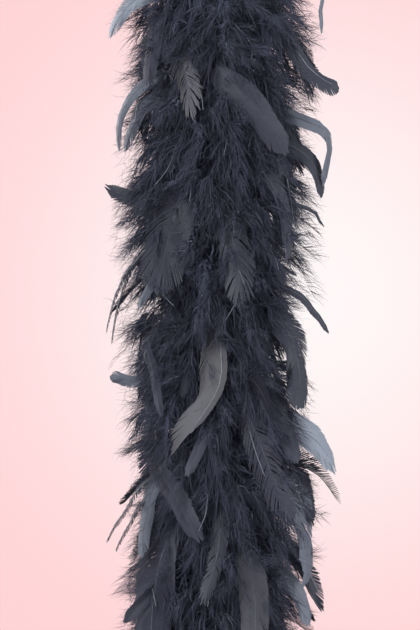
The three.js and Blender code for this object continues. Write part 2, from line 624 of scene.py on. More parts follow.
def tapered(kind, side, half):
    """How far each barb's ribbon reaches to its side at each row."""
    return side[:, None] * np.array(kind.taper)[None, :, None] * np.reshape(half, (-1, 1, 1))


def ribbons(kind, out):
    """The ribbon of each barb of that kind, turned to a random side."""
    side = any_side(out)
    return tapered(kind, side, rng.uniform(*kind.half, len(out)) * MM)


def fluffed(forward, sideways, over, hand, open_angle, spread):
    """The ways of downy barbs that open from a quill to either hand and spread off its face."""
    return unit(
        forward * np.cos(open_angle)[..., None]
        + sideways * (hand * np.cos(spread) * np.sin(open_angle))[..., None]
        + over * (np.sin(spread) * np.sin(open_angle))[..., None]
    )


def down_feather(plumage, root, heading, lift, bend, length, fluff, tone, pairs=40):
    """A downy feather: a soft quill with long, wavy, loose barbs all round it."""
    route, ahead, side = quill_route(root, heading, lift, bend, rng.normal(0, 0.5), length, 9)
    across, face = rolled(ahead, side, rng.uniform(-1.5, 1.5))
    count = 2 * pairs
    t = np.clip(np.repeat(np.linspace(0.06, 1.0, pairs), 2) + rng.normal(0, 0.012, count), 0, 1)
    forward, sideways, over = along(ahead, t), along(across, t), along(face, t)
    hand = np.tile([1.0, -1.0], pairs)
    spread = rng.normal(0, 0.7, count)
    open_angle = 1.15 - 0.75 * t + rng.normal(0, 0.16, count)
    out = fluffed(forward, sideways, over, hand, open_angle, spread)
    fullest_midway = 0.55 + 0.45 * np.sin(math.pi * np.clip(t * 0.8 + 0.12, 0, 1))
    barb = fluff * fullest_midway * rng.uniform(0.6, 1.15, count)
    middle = waving_lines(DOWN_BARB, along(route, t), out, barb, forward[:, None])
    half = rng.uniform(*DOWN_BARB.half, count) * MM
    strip = tapered(DOWN_BARB, any_side(out), half)
    reach = 0.5 * t[:, None] + 0.5 * DOWN_BARB.u
    tones = np.clip(tone + rng.normal(0, 0.12, count), 0, 1)
    plumage.strips(middle, strip, DOWN, tones, reach)
    plumage.tube(route, np.linspace(0.28, 0.06, len(route)) * MM, QUILL, tone * 0.3, sides=3)


# A flat feather's vane, in shares of its quill: where it starts and ends, where it has swelled
# to its full width and where it begins to close
VANE_SPAN = (0.26, 0.995)
SWELL_SPAN = (0.20, 0.46)
CLOSE_FROM = 0.50

# The angles of its barbs to the quill: at the base, how much it closes along the vane and at
# the tip, how much a parted clump changes it, and the least that a length is worked out from
BASE_ANGLE = 0.98
ANGLE_FALL = 0.22
TIP_FALL = 0.62
CLUMP_TURN = 0.20
LEAST_ANGLE = 0.14

# Its quill's radius at each end, in millimetres on a feather of the usual length
QUILL_RADII = (0.75, 0.14)
USUAL_FLAT = 110 * MM


def vane_outline(t, blunt):
    """Half-width of a flat feather along its quill, as a share of its widest."""
    swell_from, swell_to = SWELL_SPAN
    swell = ease(np.clip((t - swell_from) / (swell_to - swell_from), 0, 1))
    closing = np.clip((t - CLOSE_FROM) / (1 - CLOSE_FROM), 0, 1) ** 1.8
    return (0.25 + 0.75 * swell) * (1 - 0.7 * (1 - blunt) * closing)


def flat_feather(
    plumage, route, ahead, across, face, width, tone,
    blunt, frayed=0.0, painted_backlight=0.0, warm=0.0, cup=0.16, pairs=46, quill_glint=0.15, lopsided=0.0,
):
    """A flat feather: quill, close-set vane barbs that part here and there, and base down."""
    length = np.linalg.norm(np.diff(route, axis=0), axis=1).sum()
    count = 2 * pairs
    t = np.repeat(np.linspace(*VANE_SPAN, pairs), 2)
    hand = np.tile([1.0, -1.0], pairs)
    forward, sideways, over = along(ahead, t), along(across, t), along(face, t)
    clump = parted(pairs, frayed)[np.repeat(np.arange(pairs), 2), (hand < 0).astype(int)]
    zone = np.clip((0.55 + 1.8 * (1 - blunt)) * width / length, 0.06, 0.5)
    closing = ease(np.clip((t - 1 + zone) / zone, 0, 1))
    angle = BASE_ANGLE - ANGLE_FALL * t**2 - TIP_FALL * closing + CLUMP_TURN * clump
    barb = width * vane_outline(t, blunt) / np.sin(np.maximum(angle, LEAST_ANGLE))
    barb = np.minimum(barb, (1.35 - 0.25 * blunt * closing) * width)
    barb = barb * (1 + rng.normal(0, 0.02 + 0.14 * frayed, count)) * (1 + lopsided * hand)
    u = VANE_BARB.u
    sweep_in = angle[:, None] * (1 - 0.3 * u[None])
    run = barb[:, None] * u[None]
    cupped = cup * run**2 / width + 0.06 * abs(clump)[:, None] * run
    middle = (
        along(route, t)[:, None]
        + forward[:, None] * (np.cos(sweep_in) * run)[:, :, None]
        + sideways[:, None] * (hand[:, None] * np.sin(sweep_in) * run)[:, :, None]
        - over[:, None] * cupped[:, :, None]
    )
    gap = length * (VANE_SPAN[1] - VANE_SPAN[0]) / pairs
    fanned = 0.37 * width * closing / (zone * pairs)
    overlap = rng.uniform(1.12, 1.42, count) * (1 - 0.45 * frayed)
    shingled = unit(
        forward * np.sin(angle)[:, None]
        - sideways * (hand * np.cos(angle))[:, None]
        + over * (0.22 * hand)[:, None]
    )
    strip = tapered(VANE_BARB, shingled, (0.5 * gap * np.sin(angle) + fanned) * overlap)
    reach = 0.55 * t[:, None] + 0.45 * u[None]
    tones = np.clip(tone + rng.normal(0, 0.035, count), 0, 1)
    plumage.strips(middle, strip, FLAT, tones, reach, painted_backlight, warm)
    stem = np.linspace(*QUILL_RADII, len(route)) * MM * (length / USUAL_FLAT)
    # the quill's tone here is the strength of its painted glint
    plumage.tube(route, stem, QUILL, quill_glint, painted_backlight, sides=4)
    base_fluff(plumage, route, ahead, across, face, width, tone)


def parted(pairs, frayed):
    """How far each barb leans from its neighbours, with a few splits down each side."""
    lean = np.zeros((pairs, 2))
    for side in range(2):
        for _ in range(rng.integers(1, 4) + int(5 * frayed)):
            at = rng.integers(4, int(pairs * (0.78 + 0.2 * min(frayed, 1))))
            span = rng.integers(3, 10)
            low = max(0, at - span)
            lean[low:at, side] -= np.linspace(0, rng.uniform(0.3, 1.0), at - low)
    return lean + rng.normal(0, 0.10 + 0.7 * frayed, lean.shape)


def base_fluff(plumage, route, ahead, across, face, width, tone, pairs=16):
    """The downy barbs on the lower third of a flat feather."""
    count = 2 * pairs
    t = np.clip(np.repeat(np.linspace(0.04, 0.36, pairs), 2) + rng.normal(0, 0.01, count), 0, 1)
    hand = np.tile([1.0, -1.0], pairs)
    spread = rng.normal(0, 0.6, count)
    open_angle = 1.1 + rng.normal(0, 0.2, count)
    out = fluffed(along(ahead, t), along(across, t), along(face, t), hand, open_angle, spread)
    middle = waving_lines(BASE_BARB, along(route, t), out, width * rng.uniform(1.0, 1.9, count))
    strip = tapered(BASE_BARB, any_side(out), BASE_BARB.half[0] * MM)
    plumage.strips(middle, strip, DOWN, 0.7 * tone, 0.6 * BASE_BARB.u)


# How full the body is on its left and on its right, by height over the view's middle in
# millimetres, as shares of its usual reach
SIDE_SHARES = [
    (290, 0.95, 1.02), (245, 0.95, 1.06), (200, 0.98, 0.97), (155, 1.03, 0.95),
    (105, 1.10, 1.05), (60, 1.10, 0.93), (32, 0.98, 0.86), (12, 1.14, 0.96),
    (-30, 0.94, 0.88), (-75, 1.00, 1.00), (-110, 0.96, 0.95), (-155, 0.87, 1.10),
    (-190, 0.88, 1.04), (-235, 0.96, 0.99), (-285, 1.02, 0.90),
]

# How far from the view's middle those shares hold and over what they ease off, in millimetres
SHARES_HOLD = 300
SHARES_EASE = 40


def fullness(z, heading):
    """The body is a little fuller or leaner along its length and round its sides."""
    heights, left, right = np.array(SIDE_SHARES[::-1]).T
    over = (z - VIEW_CENTRE.z) / MM
    seen = np.clip((SHARES_HOLD + SHARES_EASE - np.abs(over)) / SHARES_EASE, 0, 1)
    aside = 0.5 + 0.5 * np.cos(heading)
    shown = np.interp(over, heights, left) * (1 - aside) + np.interp(over, heights, right) * aside
    drift = 1 + 0.05 * np.sin(41 * z + heading) + 0.045 * np.sin(23 * z - 2 * heading + 1.2)
    from_end = np.minimum(PIVOTS[0] - z, z - PIVOTS[-1] + SECTION_LENGTH)
    closing = END_FULLNESS + (1 - END_FULLNESS) * ease(np.clip(from_end / END_TAPER, 0, 1))
    return (shown * seen + drift * (1 - seen)) * closing


def within(route, limit):
    """True if a quill keeps inside the room that the boa's sides have."""
    return np.abs(route[:, :2]).max() < limit


def place_in_row(z_top, index, stray):
    """The heading and the height at which one feather of a row is rooted."""
    heading = index * GOLDEN_ANGLE + rng.normal(0, stray)
    return heading, z_top - rng.uniform(0, ROW_STEP)


def grow_down(plumage, z_top, index):
    """One downy feather of a row, rooted on the cord."""
    heading, z = place_in_row(z_top, index, DOWN_STRAY)
    length = rng.uniform(*DOWN_LENGTH) * MM * fullness(z, heading)
    lift, bend = rng.uniform(-0.75, 0.75), rng.uniform(0.2, 1.3)
    fluff = rng.uniform(*DOWN_BARB_LENGTH) * MM
    root = around(CORD_RADIUS, heading, z)
    down_feather(plumage, root, heading, lift, bend, length, fluff, rng.uniform(0.05, 0.75))


def painted_shade_bands(z, heading):
    """From 0 in bands of painted shade, where the down lies deep and dark, to 1 where it is smoky.
    """
    return 0.5 + 0.5 * np.sin(33 * z + 2 * heading + 4.1) * np.cos(19 * z - heading + 0.6)


def grow_plumes(plumage, z_top):
    """The soft outer cloud: short downy plumes that fan outward and down all round the body."""
    plumes, barbs = PLUMES_PER_ROW, PLUME_BARBS
    heading = rng.uniform(0, TAU, plumes)
    z = z_top - rng.uniform(0, ROW_STEP, plumes)
    edge = BODY_RADIUS * fullness(z, heading)
    depth = edge * rng.uniform(0.27, 0.74, plumes)
    turn = heading + rng.normal(0, 0.55, plumes)
    ahead = pointing(rng.normal(-0.55, 0.48, plumes), turn)
    start = around(depth, heading, z)
    room = edge - depth
    length = room * (0.42 + 0.68 * rng.beta(1.8, 1.6, plumes))
    droop = rng.uniform(0.1, 0.6, plumes)
    side = any_side(ahead)
    over = np.cross(side, ahead)
    fluff = rng.uniform(*PLUME_BARB_LENGTH, plumes) * MM
    # each plume's random tone, darkened in bands of painted shade
    tone = rng.beta(0.9, 1.4, plumes) * (0.35 + painted_shade_bands(z, heading))

    t = np.sort(rng.uniform(0, 1, (plumes, barbs)), axis=1)
    hand = np.where(np.arange(barbs) % 2, 1.0, -1.0)
    open_angle = 0.95 - 0.62 * t + rng.normal(0, 0.14, t.shape)
    spread = rng.normal(0, 0.45, t.shape)
    root = start[:, None] + ahead[:, None] * (t * length[:, None])[..., None]
    root[..., 2] -= droop[:, None] * t**2 * length[:, None]
    out = fluffed(ahead[:, None], side[:, None], over[:, None], hand, open_angle, spread)
    barb = fluff[:, None] * rng.uniform(0.6, 1.1, t.shape) * (1 - 0.3 * t)

    count = plumes * barbs
    root, out, barb = root.reshape(count, 3), out.reshape(count, 3), barb.reshape(count)
    quill_way = np.repeat(ahead, barbs, axis=0)[:, None]
    middle = waving_lines(PLUME_BARB, root, out, barb, quill_way)
    strip = ribbons(PLUME_BARB, out)
    reach = 0.25 + 0.45 * t.reshape(count, 1) + 0.3 * PLUME_BARB.u
    tones = np.clip(np.repeat(tone, barbs) + rng.normal(0, 0.04, count), 0, 1)
    plumage.strips(middle, strip, DOWN, tones, reach)
    grow_stems(plumage, start)
    grow_clumps(plumage, start, ahead, room, droop, tone)


def grow_stems(plumage, start):
    """The bare stem of each plume, from the cord to where its barbs begin."""
    stems = len(start)
    depth = np.hypot(start[:, 0], start[:, 1])
    root = start * [1, 1, 0] * (CORD_RADIUS / depth)[:, None]
    root[:, 2] = start[:, 2] + rng.uniform(0.1, 0.5, stems) * depth
    elbow = (root + start) / 2
    elbow[:, 2] += 0.12 * depth
    middle = np.stack([root, elbow, start + 0.2 * (start - elbow)], 1)
    strip = tapered(STEM_BARB, any_side(start - root), STEM_BARB.half[0] * MM)
    plumage.strips(middle, strip, QUILL, rng.uniform(0, 0.3, stems), 0)


def grow_clumps(plumage, start, ahead, room, droop, tone):
    """The barbs that have clung together in each plume: a fan of soft tapering locks."""
    locks = len(start) * LOCKS_PER_PLUME
    start, ahead = (np.repeat(each, LOCKS_PER_PLUME, axis=0) for each in (start, ahead))
    room, droop, tone = (np.repeat(each, LOCKS_PER_PLUME) for each in (room, droop, tone))
    out = unit(ahead + rng.normal(0, 0.26, (locks, 3)))
    lock = room * rng.uniform(0.45, 0.95, locks)
    middle = straying_lines(LOCK_BARB, start, out, lock)
    middle[..., 2] -= (droop * lock)[:, None] * LOCK_BARB.u**2
    strip = ribbons(LOCK_BARB, out)
    tones = np.clip(0.65 * tone + rng.normal(0, 0.04, locks), 0, 1)
    plumage.strips(middle, strip, DOWN, tones, 0.1 + 0.6 * LOCK_BARB.u)


def grow_haze(plumage, z_top):
    """The finest barbs, which stand off the body's outside like smoke."""
    count = HAZE_PER_ROW
    heading = rng.uniform(0, TAU, count)
    z = z_top - rng.uniform(0, ROW_STEP, count)
    depth = BODY_RADIUS * fullness(z, heading) * rng.uniform(0.62, 0.94, count)
    out = pointing(rng.normal(-0.6, 0.7, count), heading + rng.normal(0, 0.8, count))
    barb = rng.uniform(*HAZE_LENGTH, count) * MM
    middle = waving_lines(HAZE_BARB, around(depth, heading, z), out, barb)
    strip = ribbons(HAZE_BARB, out)
    plumage.strips(middle, strip, DOWN, rng.uniform(0.3, 1.0, count), 0.6 + 0.4 * HAZE_BARB.u)


def grow_webs(plumage, z_top):
    """The dark downy webs close round the cord, which shut out the light behind, in near-black
    tones that are painted shade deep in the body.
    """
    count = WEBS_PER_ROW
    heading = rng.uniform(0, TAU, count)
    out = pointing(rng.normal(-0.35, 0.5, count), heading)
    z = z_top - rng.uniform(0, ROW_STEP, count)
    start = around(CORD_RADIUS, heading, z)
    barb = BODY_RADIUS * fullness(z, heading) * rng.uniform(0.5, 0.8, count)
    middle = straying_lines(WEB_BARB, start, out, barb)
    middle[..., 2] -= WEB_BARB.u**2 * rng.uniform(*WEB_SAG, (count, 1)) * MM
    strip = ribbons(WEB_BARB, out)
    plumage.strips(middle, strip, DOWN, rng.uniform(0, 0.15, count), 0.3 * WEB_BARB.u)


# The shown flats' stretch: how far toward the front it comes, and how far its middle stands
# over the view's middle
SHOWN_FRONT = -0.35
SHOWN_RISE = 30 * MM


def among_shown(heading, z):
    """True where the shown flats already lie, on the front of the body's middle stretch."""
    over = abs(z - SHOWN_RISE - VIEW_CENTRE.z)
    return math.sin(heading) < SHOWN_FRONT and over < VIEW_HEIGHT / 2


# What the two kinds of random flat feather are drawn from: lengths and half-widths in
# millimetres, angles in radians, spreads, and the two shapes of each beta for the tones, the
# quill's tone being the strength of its painted glint
LAID = SimpleNamespace(
    length=(96, 128), lift=(-0.25, 0.55), bend=(1.2, 2.1), sweep=0.8, roll=0.42,
    half=(11, 20), tone=(1.5, 3.0), blunt=(0.35, 0.95), frayed=(0.05, 0.15),
    warm=(0.6, 6.0), cup=(0.08, 0.30), quill_glint=(0.7, 3.0),
)
LOOSE = SimpleNamespace(
    length=(84, 118), lift=(-0.8, 0.4), bend=(0.3, 1.5), sweep=0.55, roll=1.0,
    half=(5, 11), tone=(1.6, 2.2), blunt=(0.2, 0.85), frayed=(0.08, 0.16),
    warm=None, cup=(0.05, 0.3), quill_glint=(0.7, 2.5),
)


def flat_route(kind, heading, z):
    """The quill of a flat feather of that kind, rooted on the cord."""
    root = around(CORD_RADIUS, heading, z)
    length = rng.uniform(*kind.length) * MM * fullness(z, heading)
    lift, bend = rng.uniform(*kind.lift), rng.uniform(*kind.bend)
    return quill_route(root, heading, lift, bend, rng.normal(0, kind.sweep), length)


def grow_flat(plumage, kind, route, ahead, side):
    """A flat feather of that kind on its quill."""
    across, face = rolled(ahead, side, rng.normal(0, kind.roll))
    width = rng.uniform(*kind.half) * MM
    tone = rng.beta(*kind.tone)
    blunt = rng.uniform(*kind.blunt)
    frayed = max(0, rng.normal(*kind.frayed))
    warm = rng.beta(*kind.warm) if kind.warm else 0.0
    cup = rng.uniform(*kind.cup)
    flat_feather(
        plumage, route, ahead, across, face, width, tone,
        blunt=blunt, frayed=frayed, warm=warm, cup=cup, quill_glint=rng.beta(*kind.quill_glint),
    )


def grow_laid_flat(plumage, z_top, index):
    """One broad flat feather that leaves the cord, turns down and lies on the body's outside."""
    heading, z = place_in_row(z_top, index, FLAT_STRAY)
    if not among_shown(heading, z):
        grow_flat(plumage, LAID, *flat_route(LAID, heading, z))


def grow_loose_flat(plumage, z_top, index):
    """One narrower flat feather that stands out of the body at any angle."""
    for _ in range(LOOSE_TRIES):
        heading, z = place_in_row(z_top, index, FLAT_STRAY)
        route, ahead, side = flat_route(LOOSE, heading, z)
        if within(route, LOOSE_ROOM):
            break
    grow_flat(plumage, LOOSE, route, ahead, side)


# The flats that catch the eye: where each leaves the down and where it runs to, as
# (x, height over the view's middle) in millimetres, then its half-width in millimetres, its
# tone, its bluntness and the rest of its look, in which the pale share is painted backlight
# and the quill share a painted glint
SHOWN_FLATS = [
    ([(-66, 290), (-84, 276), (-100, 254)], 9, 0.9, 0.8, {"painted_backlight": 0.85}),
    ([(88, 300), (96, 280), (97, 256)], 4, 0.8, 0.9, {"painted_backlight": 0.5}),
    ([(50, 272), (86, 222), (122, 206)], 10, 0.45, 1.0, {"quill_glint": 1.0}),
    ([(76, 178), (106, 160), (100, 118)], 7, 0.9, 0.9, {"painted_backlight": 0.3}),
    ([(70, 152), (92, 130), (96, 108)], 9, 0.2, 0.9, {}),
    ([(-60, 214), (-86, 184), (-90, 150)], 6, 0.8, 0.5, {"painted_backlight": 0.45}),
    ([(-56, 110), (-80, 108), (-103, 116)], 9, 0.25, 0.5, {}),
    ([(-30, 238), (-26, 206), (-24, 178)], 12, 0.7, 0.55, {"warm": 0.7, "frayed": 0.7}),
    ([(0, 222), (30, 190), (62, 146)], 13, 0.45, 0.8, {}),
    ([(-28, 108), (-44, 66), (-50, 22)], 22, 0.26, 0.95, {"cup": 0.1}),
    ([(6, 92), (18, 52), (20, 12)], 14, 0.1, 0.8, {"frayed": 0.35}),
    ([(-70, 50), (-90, 22), (-104, -16)], 3, 0.2, 0.3, {"frayed": 0.5}),
    ([(-66, 56), (-86, 20), (-97, -26)], 3, 0.3, 0.3, {"frayed": 0.5}),
    ([(68, 22), (86, 6), (106, -16)], 4, 0.3, 1.0, {}),
    ([(80, 98), (90, 90), (100, 80)], 2, 0.2, 0.9, {}),
    (
        [(2, -16), (2, -62), (-28, -110)], 13, 0.8, 0.55,
        {"warm": 0.8, "quill_glint": 0.8, "lopsided": 0.6},
    ),
    ([(-66, -58), (-82, -58), (-98, -57)], 6, 0.8, 1.0, {"painted_backlight": 0.2}),
    ([(58, -8), (74, -44), (74, -80)], 15, 0.25, 1.0, {}),
    ([(66, -98), (92, -116), (116, -140)], 14, 0.9, 0.7, {"painted_backlight": 0.75}),
    ([(28, -92), (48, -140), (66, -184)], 15, 0.5, 0.7, {"frayed": 0.45}),
    ([(-50, -130), (-36, -164), (-16, -196)], 11, 0.55, 0.6, {}),
    ([(-62, -150), (-84, -180), (-103, -206)], 3, 0.3, 0.3, {"frayed": 0.6}),
    ([(-60, -164), (-80, -192), (-92, -214)], 3, 0.3, 0.3, {"frayed": 0.6}),
    ([(-40, -196), (-56, -250), (-60, -326)], 21, 0.6, 0.9, {"cup": 0.1}),
    ([(24, -212), (34, -256), (32, -312)], 14, 0.45, 0.8, {"warm": 0.35}),
    ([(60, -160), (78, -196), (80, -236)], 13, 0.85, 0.8, {"painted_backlight": 0.3, "lopsided": -0.4}),
    ([(-52, -150), (-64, -182), (-68, -214)], 8, 0.9, 0.8, {"painted_backlight": 0.3}),
    ([(-48, 40), (-60, 26), (-70, 8)], 6, 0.9, 0.6, {"painted_backlight": 0.3}),
    ([(-58, 196), (-74, 176), (-84, 150)], 8, 0.9, 0.7, {"painted_backlight": 0.25}),
    ([(40, 130), (58, 96), (62, 56)], 8, 0.5, 0.6, {"lopsided": -0.5}),
    ([(-60, -18), (-57, -52), (-50, -88)], 6, 0.6, 0.4, {}),
    ([(46, -66), (62, -98), (72, -130)], 10, 0.5, 0.9, {}),
    ([(-10, -84), (-14, -112), (-26, -140)], 6, 0.7, 0.6, {}),
    ([(-46, 270), (-58, 240), (-62, 206)], 9, 0.6, 0.7, {"frayed": 0.2}),
    ([(4, -176), (0, -214), (-12, -252)], 8, 0.2, 0.5, {"frayed": 0.4}),
    ([(58, -236), (76, -256), (84, -280)], 9, 0.9, 0.9, {"painted_backlight": 0.4}),
]

# How much broader they are built, how far over its first spot each is rooted, how far its
# barbs run on past its quill, in half-widths, and how many barbs each side has
SHOWN_BREADTH = 1.3
ROOT_RISE = 26 * MM
TIP_SHARE = 0.9
SHOWN_PAIRS = 60

# How far from the cord a shown flat's first and last spots lie, and the least toward the view
SHOWN_DEPTHS = (56 * MM, 89 * MM)
LEAST_FRONT = 26 * MM

# Bare quills painted near white as glints, as (x, height over the view's middle) in millimetres
SHOWN_QUILLS = [
    [(-36, 154), (-43, 132), (-54, 116)],
    [(-20, 210), (-14, 196), (-12, 180)],
    [(-24, 118), (-23, 110), (-24, 100)],
    [(9, 158), (8, 150), (6, 140)],
    [(12, 60), (18, 44), (24, 28)],
    [(64, 124), (68, 100), (70, 76)],
    [(-62, 36), (-54, 24), (-38, 8)],
    [(20, 18), (14, 6), (8, -4)],
    [(-66, 206), (-72, 190), (-74, 172)],
    [(44, 66), (52, 52), (55, 40)],
    [(28, -98), (34, -120), (42, -142)],
    [(-8, -160), (-10, -176), (-16, -190)],
    [(52, -150), (58, -166), (62, -184)],
    [(-64, -236), (-58, -246), (-54, -258)],
    [(0, -220), (-6, -238), (-8, -256)],
]

# The steps of a smooth route between two of its points
CURVE_STEPS = 16


def smooth_route(points, rows, cut=0.0):
    """An evenly stepped smooth curve through a few points, less a cut off its far end."""
    points = np.array(points, float)
    padded = np.concatenate([[2 * points[0] - points[1]], points, [2 * points[-1] - points[-2]]])
    curve = []
    for a, b, c, d in zip(padded, padded[1:], padded[2:], padded[3:]):
        for t in np.linspace(0, 1, CURVE_STEPS, endpoint=False):
            curve.append(
                0.5 * (
                    2 * b + (c - a) * t + (2 * a - 5 * b + 4 * c - d) * t**2
                    + (3 * b - a - 3 * c + d) * t**3
                )
            )
    curve = np.array(curve + [points[-1]])
    gone = np.concatenate([[0], np.cumsum(np.linalg.norm(np.diff(curve, axis=0), axis=1))])
    evenly = np.linspace(0, gone[-1] - cut, rows)
    return np.stack([np.interp(evenly, gone, curve[:, axis]) for axis in range(3)], 1)


def shown_points(spots):
    """The spots of a shown flat, on the body's front and in metres."""
    points = []
    for radius, (x, height) in zip(np.linspace(*SHOWN_DEPTHS, len(spots)), spots):
        x = x * MM
        front = -math.sqrt(max(radius**2 - x**2, LEAST_FRONT**2))
        points.append((x, front, VIEW_CENTRE.z + height * MM))
    return points


def lay_shown_flat(plumage, spots, half_width, tone, **look):
    """A flat feather that runs from the cord through its chosen spots, face outward."""
    points = shown_points(spots)
    root = (0.0, -CORD_RADIUS, points[0][2] + ROOT_RISE)
    width = half_width * SHOWN_BREADTH * MM
    route = smooth_route([root] + points, 15, cut=TIP_SHARE * width)
    ahead = unit(np.gradient(route, axis=0))
    outward = unit(route * [0.8, 1.0, 0.0] + [0.0, -30 * MM, 0.0])
    across = unit(np.cross(ahead, outward))
    face = unit(np.cross(across, ahead))
    face *= np.sign((face * outward).sum(axis=1, keepdims=True))
    across = np.cross(ahead, face)
    flat_feather(plumage, route, ahead, across, face, width, tone, pairs=SHOWN_PAIRS, **look)


def lay_shown_quill(plumage, spots):
    """A bare quill that lies on the body's front through its chosen spots, at the full tone of a
    painted glint.
    """
    route = smooth_route(shown_points(spots), 13)
    plumage.tube(route, np.linspace(0.5, 0.18, len(route)) * MM, QUILL, 1.0, sides=5)


# The thread binding: its radius in cord radii, its height, and the thread's own radius
BINDING_SHARE = 1.35
BINDING_HEIGHT = 6 * MM
BINDING_THREAD = 0.35 * MM


def wind_binding(plumage, z_top, turns=7, steps=16):
    """The thread wound round the cord and the quill roots in the middle of a row."""
    t = np.linspace(0, 1, turns * steps + 1)
    angle = TAU * turns * t
    radius = BINDING_SHARE * CORD_RADIUS + 0.3 * MM * np.sin(9 * t)
    z = z_top - ROW_STEP / 2 + BINDING_HEIGHT * (0.5 - t)
    plumage.tube(around(radius, angle, z), np.full(len(t), BINDING_THREAD), THREAD, sides=4)


def take_place(plumage, name, node):
    """Makes the piece that takes a node's place."""
    piece = plumage.piece(name)
    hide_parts(node)
    return piece


def grow_row(section, row):
    """One row of plumage: the feathers bound on a quarter of a section of cord."""
    plumage = Plumage()
    z_top = PIVOTS[section] - row * ROW_STEP
    index = section * len(ROWS) + row
    for i in range(DOWN_PER_ROW):
        grow_down(plumage, z_top, index * DOWN_PER_ROW + i)
    for i in range(LAID_FLATS_PER_ROW):
        grow_laid_flat(plumage, z_top, index * LAID_FLATS_PER_ROW + i)
    for i in range(LOOSE_FLATS_PER_ROW):
        grow_loose_flat(plumage, z_top, index * LOOSE_FLATS_PER_ROW + i)
    grow_webs(plumage, z_top)
    grow_plumes(plumage, z_top)
    grow_haze(plumage, z_top)
    for spots, half_width, tone, blunt, rest in SHOWN_FLATS:
        if z_top - ROW_STEP <= shown_points(spots)[0][2] + ROOT_RISE < z_top:
            lay_shown_flat(plumage, spots, half_width, tone, blunt=blunt, **rest)
    for spots in SHOWN_QUILLS:
        if z_top - ROW_STEP <= shown_points(spots)[0][2] < z_top:
            lay_shown_quill(plumage, spots)
    wind_binding(plumage, z_top)
    label = f"{section + 1:02d}_{ROWS[row]}"
    piece = take_place(plumage, f"plumage_{label}", f"feather_whorl_{label}")
    hang(piece, section, row)


# The rows, counted from the top of each section, that ride on their section
RIDING_ROWS = 2


def hang(piece, section, row):
    """The upper rows, and every row of the last section, ride on their section; the lower rows keep
    their place, baked into their mesh, on no body.
    """
    body = f"section_{section + 1:02d}"
    if row < RIDING_ROWS or section == SECTIONS - 1:
        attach(piece, body)
        return
    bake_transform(piece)


# ---- cord, eye and knots

# A ply's distance from the cord's middle and its own radius, in cord radii, and the length of
# one full twist
PLY_OUT = 0.48
PLY_RADIUS = 0.52
TWIST_LENGTH = 9 * MM
STEPS_PER_TWIST = 9


def two_ply(plumage, low, high, radius):
    """Two plies twisted round each other between two heights."""
    turns = (high - low) / TWIST_LENGTH
    t = np.linspace(0, 1, int(turns * STEPS_PER_TWIST) + 1)
    for ply in range(2):
        angle = TAU * turns * t + ply * math.pi
        route = around(PLY_OUT * radius, angle, low + (high - low) * t)
        plumage.tube(route, np.full(len(t), PLY_RADIUS * radius), CORD, sides=8)


def make_cord(section):
    """A section's link of the core cord."""
    label = f"{section + 1:02d}"
    node = f"core_cord_{label}"
    low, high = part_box(node)
    plumage = Plumage()
    two_ply(plumage, low[2], high[2], CORD_RADIUS)
    piece = take_place(plumage, f"twisted_cord_{label}", node)
    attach(piece, f"section_{label}")


# The eye: half the gap in its ring where its legs part, in radians, where the legs stand at the
# knot and under the ring, in strand radii, and its twists and steps
LEG_PARTING = math.radians(42)
LEGS_AT_KNOT = (0.75, -2)
LEGS_UNDER_RING = (0.85, 0.3)
EYE_TWISTS = 10
EYE_STEPS = 160


def twisted_eye(plumage, node):
    """The cord's eye: two plies twisted round each other, with both legs in the knot."""
    low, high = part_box(node)
    middle = (low[2] + high[2]) / 2
    strand = (high[1] - low[1]) / 2
    radius = (high[0] - low[0]) / 2 - strand
    ring = np.linspace(LEG_PARTING, TAU - LEG_PARTING, 11) - math.pi / 2
    leg = [(x * strand, 0.0, low[2] + z * strand) for x, z in (LEGS_AT_KNOT, LEGS_UNDER_RING)]
    loop = leg + [(radius * math.cos(a), 0.0, middle + radius * math.sin(a)) for a in ring]
    loop += [(-x, y, z) for x, y, z in reversed(leg)]
    route = smooth_route(loop, EYE_STEPS)
    ahead = unit(np.gradient(route, axis=0))
    outward = np.stack([ahead[:, 2], np.zeros(EYE_STEPS), -ahead[:, 0]], 1)
    for ply in range(2):
        twist = (TAU * EYE_TWISTS * np.linspace(0, 1, EYE_STEPS) + ply * math.pi)[:, None]
        offset = np.cos(twist) * outward + np.sin(twist) * [0.0, 1.0, 0.0]
        radii = np.full(EYE_STEPS, PLY_RADIUS * strand)
        plumage.tube(route + PLY_OUT * strand * offset, radii, CORD, sides=8)


# The knots: how thick the tightened cord is, in cord radii, how far their ends narrow, how far
# the tucked turn reaches round, in radians, its thickness, and the knot's filled middle
TIGHTENED = 0.82
KNOT_NARROWING = 0.10
TUCK_REACH = 0.7
TUCK_THICKNESS = 0.8
KNOT_MIDDLE = 0.62


def knotted_turns(plumage, low, high, radius, turns):
    """The turns of cord that make a barrel knot, with a last turn tucked across them."""
    cord = CORD_RADIUS * TIGHTENED
    t = np.linspace(0, 1, turns * 20 + 1)
    out = (radius - cord) * (1 - KNOT_NARROWING * (1 - np.sin(math.pi * t)))
    z = high - cord + (low - high + 2 * cord) * t
    plumage.tube(around(out, TAU * turns * t, z), np.full(len(t), cord), CORD, sides=8)
    across = np.linspace(-1, 1, 15)
    tucked = np.stack(
        [
            (radius - 0.6 * cord) * np.sin(TUCK_REACH * across),
            -(radius - 0.5 * cord) * np.cos(TUCK_REACH * across),
            (low + high) / 2 + across * (high - low - 2 * cord) / 2,
        ],
        1,
    )
    plumage.tube(tucked, np.full(len(across), TUCK_THICKNESS * cord), CORD, sides=8)
    middle = around(0, np.zeros(9), np.linspace(low + cord / 2, high - cord / 2, 9))
    plumage.tube(middle, np.full(9, KNOT_MIDDLE * radius), CORD, sides=10)


# Each knot's turns, the top knot's gap over its whipping, and how far the stub runs into it
KNOT_TURNS = 3
KNOT_GAP = 0.3 * MM
STUB_IN_KNOT = 2 * MM


